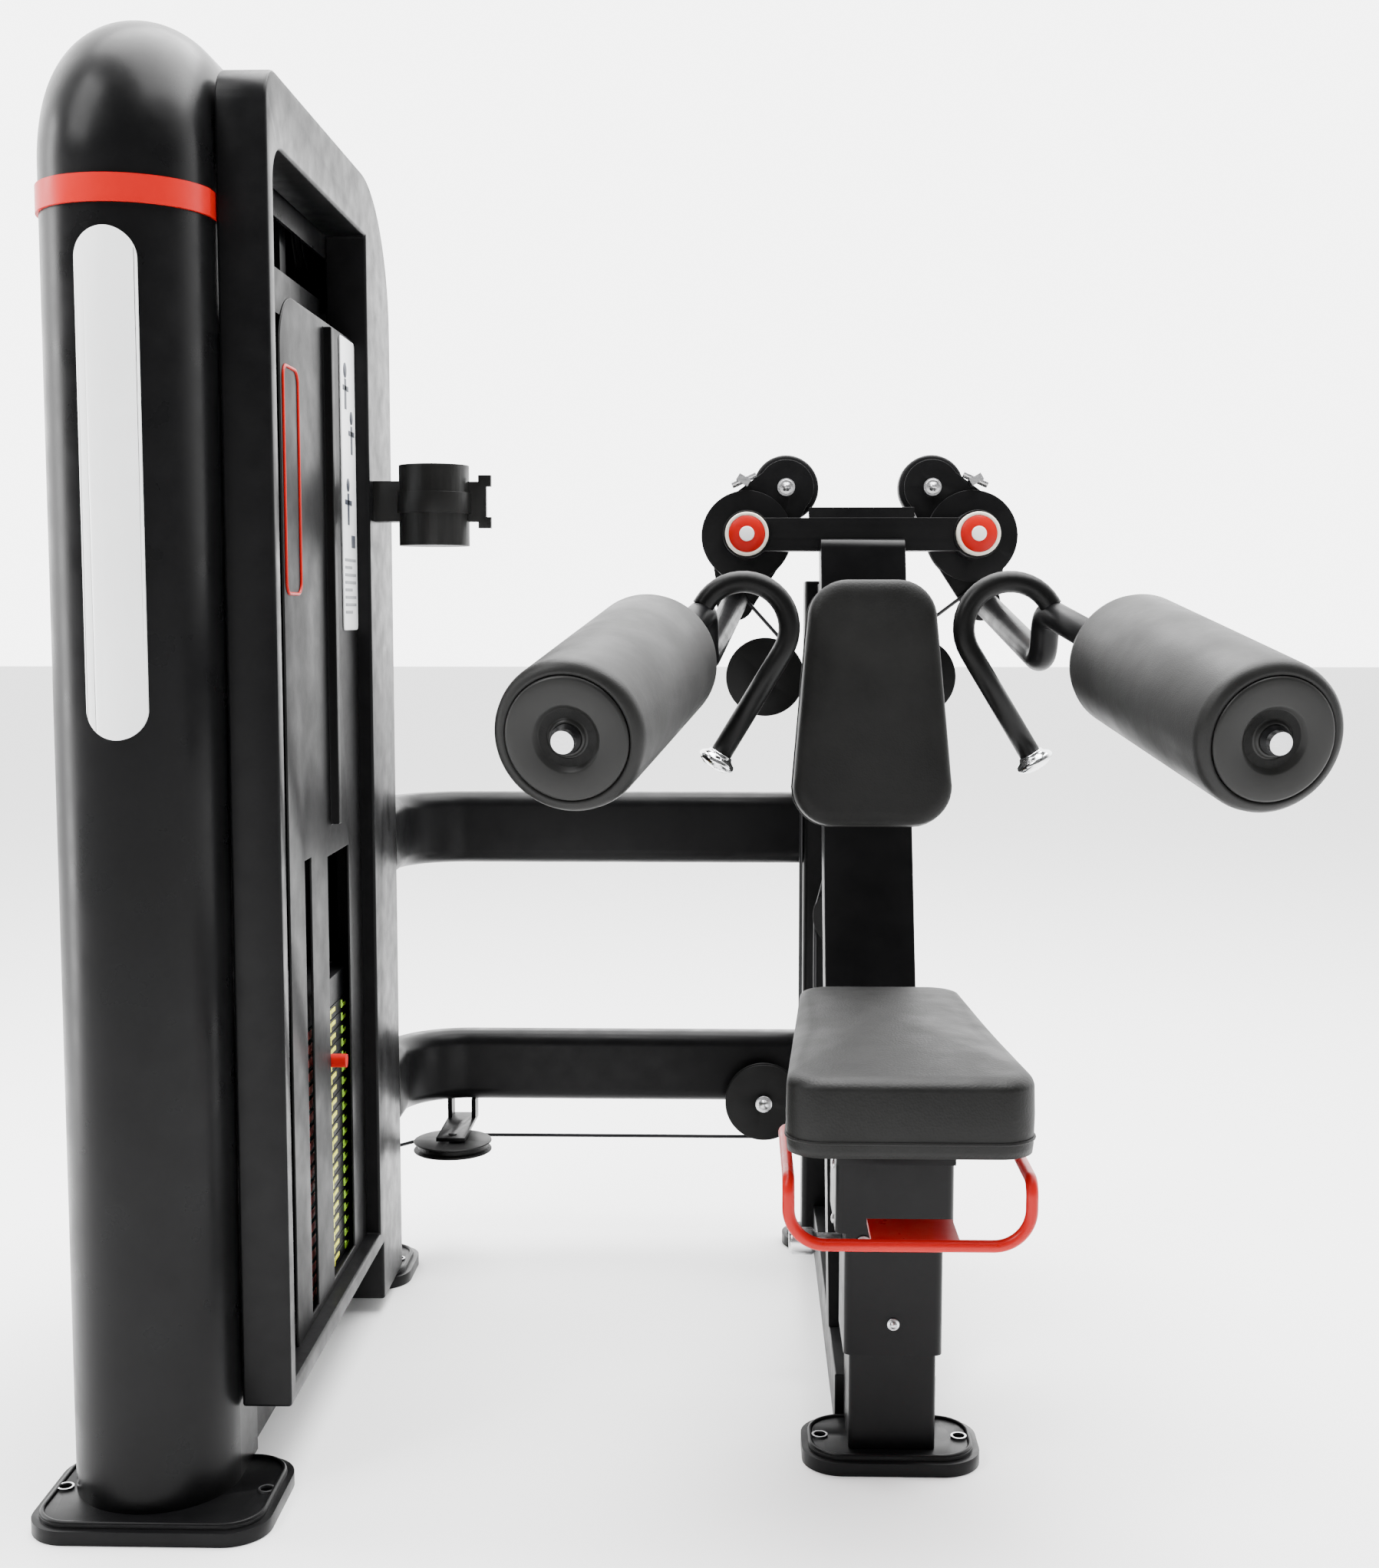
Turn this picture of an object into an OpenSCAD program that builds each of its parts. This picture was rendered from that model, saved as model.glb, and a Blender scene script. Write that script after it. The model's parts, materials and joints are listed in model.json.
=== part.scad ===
/* [Weight tower] */
// Height of the weight tower above the floor
tower_h = 1490; // [1450:10:1560]
// Width of the half-round tower columns across the machine
column_w = 166; // [160:2:176]
// Depth of a tower column from its round nose to its open back
column_d = 150; // [140:5:160]
// Number of weight plates below the top plate
plate_count = 20; // [12:1:20]
// Thickness of one weight plate
plate_t = 16; // [14:1:16]

/* [Arms] */
// Height of the arm pivots above the floor
pivot_z = 1011; // [1005:1:1020]
// Distance of each arm pivot from the middle of the machine
pivot_x = 154; // [152:1:158]
// Angle of the resting arms outward from straight down
rest_angle = 31; // [29:1:33]
// Diameter of the arm rollers
roller_d = 147; // [130:1:150]
// Length of the arm rollers
roller_l = 340; // [300:5:345]

/* [Seat and chest pad] */
// Width of the seat cushion at its front
seat_front_w = 238; // [220:2:250]
// Width of the seat cushion at its rear
seat_rear_w = 188; // [170:2:200]
// Length of the seat cushion
seat_l = 465; // [430:5:470]
// Height of the chest pad
pad_h = 304; // [280:2:310]

/* [Hidden] */
$fn = 64;

// Weight tower
tower_x = -758;
column_r = column_w / 2;
tower_y0 = -430;
tower_y1 = 334;
arch_r = 160;
shroud_t = 4;
foot_t = 18;
ring_z0 = 1286;
ring_z1 = 1312;
ring_proud = 3;
shell_x0 = -673;
shell_x1 = -622;
shell_y0 = -345;
shell_y1 = 290;
shell_z0 = 92;
shell_z1 = 1437;
opening_y0 = -322;
opening_y1 = 140;
opening_z0 = 112;
opening_z1 = 1365;
cover_x0 = -643;
cover_x1 = -640;
cover_y0 = -235;
cover_z1 = 1239;
stack_x = -712;
stack_y = -30;
stack_z0 = 116;
stack_w = 120;
stack_l = 300;
pin_rise = 7.25;
stack_top = stack_z0 + plate_count * plate_t;
rod_gap_y = 105;
rod_r = 10;

// Centre frame
post_hw = 73;
post_y0 = 425;
post_d = 60;
post_top = 950;
spine_hw = 56;
spine_d = 60;
spine_lean = 20.5;
spine_head_y = 318;
spine_head_z = 1004;
beam_y = 455;
beam_h = 100;
beam_t = 50;
beam_z_up = 603;
beam_z_low = 260;
beam_bend = 100;
beam_x = -647;
runner_top = 62;
runner_hw = 56;
bar_y0 = 344;
bar_s = 44;

// Arms, drawn for the right side in a frame whose -Z runs down along the arm
housing_r = 32;
axle_r = 15;
cam_r = 62;
groove_r = 56;
cam_y0 = 397;
cam_t = 14;
lever_y0 = 412;
lever_t = 10;
weight_r = 45;
weight_t = 28;
weight_z = 85;
weight_x = -12;
arm_r = 17;
handle_r = 13;
weld = 0.6;
tube_y1 = 398;
boss_x = -22;
boss_z = -86;
boss_r = 12;
handle_x = -59;
handle_bend = 55;
handle_y = 62;
handle_z = -108;
handle_foot = -124;
grip_l = 142;
roller_tilt = 15.8;
roller_yaw = 4;
roller_x = 8.7;
roller_y = -158;
roller_z = -185;
stub_l = 256;
roller_axis = [sin(roller_yaw) * cos(roller_tilt), -cos(roller_yaw) * cos(roller_tilt), -sin(roller_tilt)];
spindle_r = 14;
core_r = 20;

// Cable and pulleys
cable_r = 2.5;
cable_sides = 8;
cable_y = cam_y0 + cam_t / 2;
pulley_r = 54;
pulley_groove = 48;
pulley_t = 14;
pulley_bore = 6.05;
pin_r = 6;
side_x = 128;
right_x = 80;
upper_z = 818;
lower_z = 219;
cable_off = cable_r + 0.3;
cable_ring = pulley_groove + cable_off;
cable_x = side_x - cable_ring;
run_z = lower_z - cable_ring;
mid_x = -14;
mid_z = 484;
mid_r = 46;
mid_groove = 40;
joint_z = 330;
beam_pulley_x = -561;
beam_pulley_y = cable_y - cable_ring;
beam_turn = 48;
base_r = 30;
base_groove = 24;
base_ring = base_groove + cable_off;
turn_x = beam_pulley_x - cable_ring * sin(beam_turn);
turn_y = beam_pulley_y + cable_ring * cos(beam_turn);
dive = (turn_x - stack_x) / cos(beam_turn);
base_x = turn_x - (dive - base_ring) * cos(beam_turn);
base_y = turn_y - (dive - base_ring) * sin(beam_turn);
rise_y = turn_y - dive * sin(beam_turn);
lift_y = stack_y;
top_pulley_z = 1385;
top_rear_y = rise_y - cable_ring;
top_front_y = lift_y + cable_ring;

// Seat
seat_z = 478;
seat_t = 84;
seat_y0 = -470;
board_t = 10;
seat_bottom = seat_z - seat_t - board_t;
seat_post_y = -219;
post_z1 = 282;
inner_s = 92;
sleeve_s = 104;
sleeve_gap = 0.5;
sleeve_z0 = 124;
collar_z0 = 258;
collar_z1 = 335;
collar_hw = 62;
knob_z = 230;
knob_pin_r = 5;
lever_r = 6;
lever_hw = 116;
lever_z = 303;
lever_y = -445;
lever_top = 366;
lever_bend_r = 36;
lever_turn_r = 14;
lever_pivot_y = -262;

// Chest pad
pad_z = 792;
pad_tilt = 6;
pad_t = 62;
pad_y = 92;

// ---- shared shapes ----

// Box between two corners
module block(a, b) {
  translate(a) cube([b[0] - a[0], b[1] - a[1], b[2] - a[2]]);
}

// Round bar between two points
module rod(a, b, r) {
  v = b - a;
  len = norm(v);
  translate(a)
    rotate([0, acos(v[2] / len), atan2(v[1], v[0])])
      cylinder(r = r, h = len);
}

// Cylinder along +Y from y0 to y1 around a point of the XZ plane
module y_disc(x, z, r, y0, y1) {
  translate([x, y0, z]) rotate([-90, 0, 0]) cylinder(r = r, h = y1 - y0);
}

// Rectangle with round corners, centred
module round_rect(w, h, r) {
  union() {
    square([w - 2 * r, h], center = true);
    square([w, h - 2 * r], center = true);
    for (sx = [-1, 1], sy = [-1, 1])
      translate([sx * (w / 2 - r), sy * (h / 2 - r)]) circle(r = r);
  }
}

// Grooved wheel around the Z axis, centred on its groove
module wheel(r, groove, t, bore) {
  flank = t / 2;
  slot = cable_r + 0.4;
  rotate_extrude()
    polygon([[bore, -flank], [r, -flank], [r, -flank + 2], [groove, -slot],
             [groove, slot], [r, flank - 2], [r, flank], [bore, flank]]);
}

// Grooved wheel whose axis runs along Y
module wheel_y(x, z, r, groove) {
  translate([x, cable_y, z]) rotate([90, 0, 0]) wheel(r, groove, pulley_t, pulley_bore);
}

// Grooved wheel whose axis runs along X
module wheel_x(x, y, z) {
  translate([x, y, z]) rotate([0, 90, 0]) wheel(pulley_r, pulley_groove, pulley_t, pulley_bore);
}

// Eight-sided cable section
module cable_section() {
  circle(r = cable_r, $fn = cable_sides);
}

// Straight length of cable, lapped a little into its neighbours
module cable(a, b) {
  v = b - a;
  lap = 0.05;
  translate(a)
    rotate([0, acos(v[2] / norm(v)), atan2(v[1], v[0])])
      translate([0, 0, -lap])
        linear_extrude(height = norm(v) + 2 * lap) cable_section();
}

// Bend of the cable in the XZ plane
module cable_bend_xz(x, z, r, start, sweep) {
  translate([x, cable_y, z])
    rotate([90, 0, 0])
      rotate([0, 0, start])
        rotate_extrude(angle = sweep) translate([r, 0]) cable_section();
}

// Quarter bend of the cable in the YZ plane
module cable_bend_yz(x, y, z, r, start, sweep) {
  translate([x, y, z])
    rotate([90, 0, 90])
      rotate([0, 0, start])
        rotate_extrude(angle = sweep) translate([r, 0]) cable_section();
}

// ---- weight tower ----

// Solid column section: round nose at the top of the drawing, open side at zero
module column_outline(grow) {
  union() {
    translate([-column_r - grow, 0]) square([column_w + 2 * grow, column_d - column_r]);
    translate([0, column_d - column_r]) circle(r = column_r + grow);
  }
}

// Thin-walled column section
module column_section(grow, wall) {
  difference() {
    column_outline(grow);
    translate([0, -1]) column_outline(grow - wall);
    translate([-column_r + shroud_t, -column_r])
      square([column_w - 2 * shroud_t, column_r]);
  }
}

// Column section stood upright, nose towards -Y (front) or +Y (rear)
module upright(side, z0, z1, grow, wall) {
  y = side < 0 ? tower_y0 + column_d : tower_y1 - column_d;
  translate([tower_x, y, z0])
    rotate([0, 0, side < 0 ? 180 : 0])
      linear_extrude(height = z1 - z0) column_section(grow, wall);
}

// Bend that carries the column section over a top corner
module arch_bend(side) {
  y = side < 0 ? tower_y0 + arch_r : tower_y1 - arch_r;
  translate([tower_x, y, tower_h - arch_r])
    rotate([90, 0, 90])
      rotate([0, 0, side < 0 ? 90 : 0])
        rotate_extrude(angle = 90)
          translate([arch_r - column_d, 0]) rotate([0, 0, -90]) column_section(0, shroud_t);
}

module tower_shrouds() {
  side_wall_x = tower_x - column_r;
  color("#1c1c1d") {
    upright(-1, foot_t, ring_z0, 0, shroud_t);
    difference() {
      upright(1, foot_t, ring_z0, 0, shroud_t);
      block([-735, 225, 150], [-660, 345, 240]);
    }
    union() {
      block([side_wall_x, tower_y0 + column_d, foot_t + 60],
            [side_wall_x + shroud_t, tower_y1 - column_d, tower_h - arch_r]);
      block([side_wall_x, tower_y0 + arch_r, tower_h - arch_r],
            [side_wall_x + shroud_t, tower_y1 - arch_r, tower_h - column_d]);
      for (y = [tower_y0 + arch_r, tower_y1 - arch_r])
        translate([side_wall_x, y, tower_h - arch_r])
          rotate([0, 90, 0]) cylinder(r = arch_r - column_d - 0.5, h = shroud_t);
    }
  }
}

module top_arch() {
  color("#1c1c1d")
    union() {
      upright(-1, ring_z1, tower_h - arch_r, 0, shroud_t);
      upright(1, ring_z1, tower_h - arch_r, 0, shroud_t);
      arch_bend(-1);
      arch_bend(1);
      translate([tower_x, tower_y1 - arch_r, tower_h - column_d])
        rotate([90, 0, 0])
          linear_extrude(height = tower_y1 - tower_y0 - 2 * arch_r) column_section(0, shroud_t);
    }
}

module accent_rings() {
  trim_x = shell_x0 - 0.5;
  color("#d3271f")
    for (side = [-1, 1])
      difference() {
        upright(side, ring_z0, ring_z1, ring_proud, shroud_t + ring_proud);
        block([trim_x, tower_y0 - 10, ring_z0 - 1], [shell_x1, tower_y1 + 10, ring_z1 + 1]);
      }
}

// Raised stadium-shaped light panel on the round nose of the front column
module light_panel() {
  half = 29;
  z0 = 785;
  z1 = 1264;
  panel_x = tower_x + 3;
  nose_y = tower_y0 + column_r;
  color("#f1f3f2")
    intersection() {
      translate([panel_x, nose_y, 0])
        rotate([90, 0, 0])
          linear_extrude(height = 2 * column_r)
            union() {
              translate([-half, z0 + half]) square([2 * half, z1 - z0 - 2 * half]);
              translate([0, z0 + half]) circle(r = half);
              translate([0, z1 - half]) circle(r = half);
            }
      translate([tower_x, nose_y, z0 - 1])
        linear_extrude(height = z1 - z0 + 2)
          difference() {
            circle(r = column_r + 5);
            circle(r = column_r);
          }
    }
}

// Outline of the inner frame seen from the seat, drawn in Y and Z
module shell_outline() {
  near_r = 40;
  far_r = 170;
  union() {
    translate([shell_y0, shell_z0]) square([shell_y1 - shell_y0, shell_z1 - far_r - shell_z0]);
    translate([shell_y0 + near_r, shell_z1 - 2 * far_r])
      square([shell_y1 - shell_y0 - near_r - far_r, 2 * far_r]);
    translate([shell_y0, shell_z1 - 2 * far_r]) square([100, 2 * far_r - near_r]);
    translate([shell_y0 + near_r, shell_z1 - near_r]) circle(r = near_r);
    translate([shell_y1 - far_r, shell_z1 - far_r]) circle(r = far_r);
    translate([shell_y1 - 130, foot_t]) square([130, 100]);
  }
}

// Opening of the inner frame, drawn in Y and Z
module shell_opening() {
  near_r = 40;
  width = opening_y1 - opening_y0;
  height = opening_z1 - opening_z0;
  union() {
    translate([opening_y0, opening_z0]) square([width, height - near_r]);
    translate([opening_y0 + near_r, opening_z0 + 100]) square([width - near_r, height - 100]);
    translate([opening_y0 + near_r, opening_z1 - near_r]) circle(r = near_r);
  }
}

module frame_shell() {
  color("#232324")
    translate([shell_x0, 0, 0])
      rotate([90, 0, 90])
        linear_extrude(height = shell_x1 - shell_x0)
          difference() {
            shell_outline();
            shell_opening();
          }
}

// Cover in front of the weight stack: rounded top corner, a rib and two long slots
module stack_cover() {
  corner = 62;
  color("#161617")
    difference() {
      union() {
        translate([cover_x0, 0, 0])
          rotate([90, 0, 90])
            linear_extrude(height = cover_x1 - cover_x0)
              union() {
                translate([cover_y0, opening_z0])
                  square([opening_y1 - cover_y0, cover_z1 - corner - opening_z0]);
                translate([cover_y0 + corner, cover_z1 - 2 * corner])
                  square([opening_y1 - cover_y0 - corner, 2 * corner]);
                translate([cover_y0 + corner, cover_z1 - corner]) circle(r = corner);
              }
        block([cover_x1, -30, 660], [cover_x1 + 10, -16, cover_z1 - 8]);
      }
      block([cover_x0 - 1, -164, 122], [cover_x1 + 1, -134, 634]);
      block([cover_x0 - 1, -50, 122], [cover_x1 + 1, 66, 624]);
    }
}

// Instruction placard on the cover
module placard() {
  color("#e4e6e6")
    translate([cover_x1, 97, 1060])
      rotate([90, 0, 90])
        linear_extrude(height = 2) round_rect(80, 350, 6);
}

// Flat foot with round ends, a raised pad and two anchor holes
module foot_plate(x, y, w, l, rise) {
  translate([x, y, 0])
    difference() {
      union() {
        linear_extrude(height = foot_t - 4) round_rect(w, l, 42);
        linear_extrude(height = foot_t) round_rect(w - 14, l - 14, 36);
      }
      for (side = [-1, 1])
        translate([side * (w / 2 - rise), 0, -1]) cylinder(r = 6.5, h = foot_t + 2);
    }
}

module feet() {
  color("#1a1a1b") {
    foot_plate(-745, -374, 240, 170, 17);
    foot_plate(-729, 312, 240, 140, 22);
    foot_plate(0, -232, 190, 118, 20);
    foot_plate(0, 455, 200, 90, 16);
  }
}

// Steel uprights and cross beams inside the tower shrouds
module tower_chassis() {
  rail_top = foot_t + 50;
  color("#2a2a2b")
    difference() {
      union() {
        for (y = [-240, 136])
          block([stack_x - 30, y, rail_top], [stack_x + 30, y + 30, 1240]);
        block([stack_x - 30, -330, foot_t], [stack_x + 30, 255, rail_top]);
        block([stack_x - 30, -240, 1240], [stack_x + 30, top_rear_y + 16, 1290]);
        block([stack_x + 30, 142, 90], [shell_x0, 166, 112]);
        block([stack_x + 30, 142, 1250], [shell_x0, 166, 1272]);
        for (y = [top_front_y, top_rear_y], x = [-16, 10])
          block([stack_x + x, y - 14, 1290], [stack_x + x + 6, y + 14, top_pulley_z + 14]);
      }
      for (side = [-1, 1])
        translate([stack_x, stack_y + side * rod_gap_y, 60])
          cylinder(r = rod_r, h = 1200);
      translate([stack_x, stack_y, 1230]) cylinder(r = 9, h = 70);
    }
}

module guide_rods() {
  color("#c9ccce")
    for (side = [-1, 1])
      translate([stack_x, stack_y + side * rod_gap_y, 60])
        cylinder(r = rod_r, h = 1200);
}

// Flat beam that leaves the tower rearwards and bends across to the post
module beam(z) {
  translate([beam_x, shell_y1, z - beam_h / 2])
    rotate([-90, 0, 0])
      linear_extrude(height = beam_y - beam_bend - shell_y1)
        translate([0, -beam_h / 2]) round_rect(beam_t, beam_h, 20);
  translate([beam_x + beam_bend, beam_y - beam_bend, z])
    rotate([0, 0, 90])
      rotate_extrude(angle = 90)
        translate([beam_bend, 0]) round_rect(beam_t, beam_h, 20);
  translate([beam_x + beam_bend, beam_y, z])
    rotate([90, 0, 90])
      linear_extrude(height = -post_hw - (beam_x + beam_bend)) round_rect(beam_t, beam_h, 20);
}

module upper_beam() {
  color("#1b1b1c") union() beam(beam_z_up);
}

module lower_beam() {
  color("#1b1b1c") union() beam(beam_z_low);
}

// ---- centre frame ----

module rear_post() {
  color("#1b1b1c")
    translate([0, post_y0 + post_d / 2, foot_t])
      linear_extrude(height = post_top - foot_t)
        difference() {
          round_rect(2 * post_hw, post_d, 8);
          round_rect(2 * post_hw - 8, post_d - 8, 4);
        }
}

// Front face of the leaning spine at a height
function spine_front(z) = spine_head_y - (spine_head_z - z) * tan(spine_lean);

// Rear face of the leaning spine at a height
function spine_back(z) = spine_front(z) + spine_d / cos(spine_lean);

// Shape drawn in Y and Z, pulled out across the machine
module side_profile(hw) {
  translate([-hw, 0, 0]) rotate([90, 0, 90]) linear_extrude(height = 2 * hw) children();
}

// Leaning hollow spine with a rounded head in front of the crossbar, linked to the rear post
module spine_tube() {
  head_r = 14;
  head_z = spine_head_z - head_r;
  bar_z0 = pivot_z - bar_s / 2;
  wall = 5;
  color("#222223")
    difference() {
      side_profile(spine_hw)
        union() {
          polygon([[spine_front(runner_top), runner_top], [spine_front(head_z), head_z],
                   [bar_y0, head_z], [bar_y0, bar_z0], [spine_back(bar_z0), bar_z0],
                   [spine_back(945), 945], [post_y0, 945], [post_y0, 905],
                   [spine_back(905), 905], [spine_back(runner_top), runner_top]]);
          translate([spine_front(head_z) + head_r, head_z]) circle(r = head_r);
          translate([spine_front(head_z) + head_r, head_z])
            square([bar_y0 - spine_front(head_z) - head_r, head_r]);
        }
      side_profile(spine_hw - wall)
        polygon([[spine_front(70) + wall, 70], [spine_front(900) + wall, 900],
                 [spine_back(900) - wall, 900], [spine_back(70) - wall, 70]]);
    }
}

module base_runner() {
  y0 = seat_post_y + inner_s / 2;
  rear_foot_y = 410;
  color("#1b1b1c")
    side_profile(runner_hw)
      polygon([[y0, 0], [rear_foot_y, 0], [rear_foot_y, foot_t], [post_y0, foot_t],
               [post_y0, runner_top], [y0, runner_top]]);
}

// Square crossbar with a round housing at each end for the arm axles
module crossbar() {
  z0 = pivot_z - bar_s / 2;
  color("#1d1d1e")
    difference() {
      union() {
        block([-pivot_x, bar_y0, z0], [pivot_x, bar_y0 + bar_s, z0 + bar_s]);
        for (side = [-1, 1])
          y_disc(side * pivot_x, pivot_z, housing_r, bar_y0 - 4, bar_y0 + bar_s + 6);
        block([-70, bar_y0 + 2, z0 + bar_s], [70, bar_y0 + bar_s - 2, z0 + bar_s + 14]);
      }
      for (side = [-1, 1])
        y_disc(side * pivot_x, pivot_z, axle_r, bar_y0 - 20, bar_y0 + bar_s + 20);
    }
}

module arm_axles() {
  color("#b9bcbe")
    for (side = [-1, 1])
      y_disc(side * pivot_x, pivot_z, axle_r, bar_y0 - 12, lever_y0 + lever_t + 6);
}

// Chest pad, wider at the bottom, drawn flat and leaned
module chest_pad() {
  hw0 = 98;
  hw1 = 80;
  r = 46;
  color("#3b3b39")
    translate([0, pad_y + pad_t, pad_z])
      rotate([90 - pad_tilt, 0, 0])
        linear_extrude(height = pad_t)
          union() {
            polygon([[-hw0, -pad_h / 2 + r], [hw0, -pad_h / 2 + r], [hw1, pad_h / 2 - r],
                     [-hw1, pad_h / 2 - r]]);
            translate([-hw0 + r, -pad_h / 2]) square([2 * (hw0 - r), 2 * r]);
            translate([-hw1 + r, pad_h / 2 - 2 * r]) square([2 * (hw1 - r), 2 * r]);
            for (sx = [-1, 1]) {
              translate([sx * (hw0 - r), -pad_h / 2 + r]) circle(r = r);
              translate([sx * (hw1 - r), pad_h / 2 - r]) circle(r = r);
            }
          }
}

// Board behind the pad and the arm that carries it on the spine
module pad_bracket() {
  z0 = pad_z - 70;
  z1 = pad_z - 10;
  inside = pad_y + pad_t + 4;
  color("#1f1f20")
    difference() {
      union() {
        translate([0, pad_y + pad_t, pad_z])
          rotate([90 - pad_tilt, 0, 0])
            translate([0, 0, -12]) linear_extrude(height = 12) round_rect(130, 240, 20);
        side_profile(25)
          polygon([[inside, z0], [inside, z1], [spine_front(z1), z1], [spine_front(z0), z0]]);
      }
      translate([0, pad_y + pad_t, pad_z])
        rotate([90 - pad_tilt, 0, 0]) translate([-150, -200, 0]) cube([300, 400, 60]);
    }
}

// ---- seat ----

module seat_post() {
  color("#202021")
    translate([0, seat_post_y, foot_t])
      linear_extrude(height = post_z1 - foot_t)
        difference() {
          round_rect(inner_s, inner_s, 5);
          round_rect(inner_s - 8, inner_s - 8, 2);
        }
}

// Sleeve that slides on the seat post, its collar and the board under the cushion
module seat_carriage() {
  opening = inner_s + 2 * sleeve_gap;
  cheek = 10;
  color("#242425")
    translate([0, seat_post_y, 0])
      difference() {
        union() {
          translate([0, 0, sleeve_z0])
            linear_extrude(height = collar_z1 - sleeve_z0)
              difference() {
                round_rect(sleeve_s, sleeve_s, 8);
                round_rect(opening, opening, 5);
              }
          translate([0, 0, collar_z0])
            linear_extrude(height = collar_z1 - collar_z0)
              difference() {
                round_rect(2 * collar_hw, 118, 8);
                round_rect(sleeve_s - 2, sleeve_s - 2, 7);
              }
          translate([-collar_hw, -70, collar_z1]) cube([2 * collar_hw, 140, 12]);
          for (x = [-collar_hw, collar_hw - cheek])
            translate([x, -70, collar_z1 + 12]) cube([cheek, 140, seat_bottom - collar_z1 - 12]);
          translate([-90, -190, seat_bottom]) cube([180, 340, board_t]);
        }
        translate([-sleeve_s / 2 - 1, 0, knob_z])
          rotate([0, 90, 0]) cylinder(r = knob_pin_r + 0.1, h = 12);
      }
}

module seat_cushion() {
  r = 34;
  fw = seat_front_w / 2;
  rw = seat_rear_w / 2;
  y1 = seat_y0 + seat_l;
  color("#3b3b39")
    translate([0, 0, seat_z - seat_t])
      linear_extrude(height = seat_t)
        union() {
          polygon([[-fw, seat_y0 + r], [fw, seat_y0 + r], [fw, seat_y0 + 90], [rw, y1 - r],
                   [-rw, y1 - r], [-fw, seat_y0 + 90]]);
          translate([-fw + r, seat_y0]) square([2 * (fw - r), 2 * r]);
          translate([-rw + r, y1 - 2 * r]) square([2 * (rw - r), 2 * r]);
          for (sx = [-1, 1]) {
            translate([sx * (fw - r), seat_y0 + r]) circle(r = r);
            translate([sx * (rw - r), y1 - r]) circle(r = r);
          }
        }
}

// Quarter bend of the lever tube from +X towards +Y, around the Z axis
module lever_bend(r) {
  rotate_extrude(angle = 90) translate([r, 0]) circle(r = lever_r);
}

// Red loop under the front of the seat that frees the height lock
module seat_lever() {
  bar_end = lever_hw - lever_bend_r;
  rise_end = lever_top - lever_turn_r;
  leg_y0 = lever_y + lever_turn_r;
  leg_y1 = lever_pivot_y - lever_turn_r;
  color("#cf1f1b")
    union() {
      translate([-bar_end, lever_y, lever_z])
        rotate([0, 90, 0]) cylinder(r = lever_r, h = 2 * bar_end);
      for (sx = [0, 1])
        mirror([sx, 0, 0]) {
          translate([bar_end, lever_y, lever_z + lever_bend_r])
            rotate([90, 0, 0]) rotate([0, 0, -90]) lever_bend(lever_bend_r);
          translate([lever_hw, lever_y, lever_z + lever_bend_r])
            cylinder(r = lever_r, h = rise_end - lever_z - lever_bend_r);
          translate([lever_hw, leg_y0, rise_end])
            rotate([90, 0, 90]) rotate([0, 0, 90]) lever_bend(lever_turn_r);
          translate([lever_hw, leg_y0, lever_top])
            rotate([-90, 0, 0]) cylinder(r = lever_r, h = leg_y1 - leg_y0);
          translate([lever_hw - lever_turn_r, leg_y1, lever_top]) lever_bend(lever_turn_r);
          translate([collar_hw + 0.5, lever_pivot_y, lever_top])
            rotate([0, 90, 0]) cylinder(r = lever_r, h = lever_hw - lever_turn_r - collar_hw - 0.5);
        }
      block([-36, lever_y, lever_z - 2.5], [49, lever_y + 72, lever_z + 2.5]);
    }
}

// Pull knob of the seat height lock on the left of the sleeve
module seat_knob() {
  x = -sleeve_s / 2;
  color("#a9abad")
    translate([x, seat_post_y, knob_z])
      rotate([0, -90, 0])
        rotate_extrude()
          polygon([[0, -5], [knob_pin_r, -5], [knob_pin_r, 0.2], [9, 0.2], [9, 28], [13, 30],
                   [14.5, 33], [14.5, 54], [12.5, 57], [0, 57]]);
}

// ---- accessories and fasteners ----

// Open cup on an arm from the tower with a two-pronged hook
module bottle_holder() {
  cx = -548;
  cy = 180;
  color("#1d1d1f")
    difference() {
      union() {
        translate([cx, cy, 990]) cylinder(r = 44, h = 100);
        translate([cx, cy, 1030]) cylinder(r = 47, h = 26);
        block([shell_x1, cy - 18, 1020], [cx, cy + 18, 1070]);
        block([cx + 30, cy - 5, 1020], [cx + 66, cy + 5, 1070]);
        block([cx + 56, cy - 5, 1064], [cx + 72, cy + 5, 1078]);
        block([cx + 56, cy - 5, 1012], [cx + 72, cy + 5, 1026]);
      }
      translate([cx, cy, 996]) cylinder(r = 39, h = 200);
    }
}

module foot_bolts() {
  washer_r = 8.5;
  color("#c4c7c9")
    for (p = [[-745, -374, 103], [-729, 312, 98], [0, -232, 75], [0, 455, 84]])
      for (side = [-1, 1])
        translate([p[0] + side * p[2], p[1], foot_t]) {
          difference() {
            cylinder(r = washer_r, h = 2);
            translate([0, 0, -1]) cylinder(r = 6.6, h = 4);
          }
        }
}

// ---- arms ----

// Places a right-hand arm shape at rest, mirrored for the left side
module arm_frame(side) {
  mirror([side < 0 ? 1 : 0, 0, 0])
    translate([pivot_x, 0, pivot_z])
      rotate([0, -rest_angle, 0])
        children();
}

// Places a roller shape along +Z from the rear end of the roller to its front end
module roller_frame() {
  translate([roller_x, roller_y, roller_z])
    rotate([90 + roller_tilt, 0, roller_yaw])
      children();
}

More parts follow.
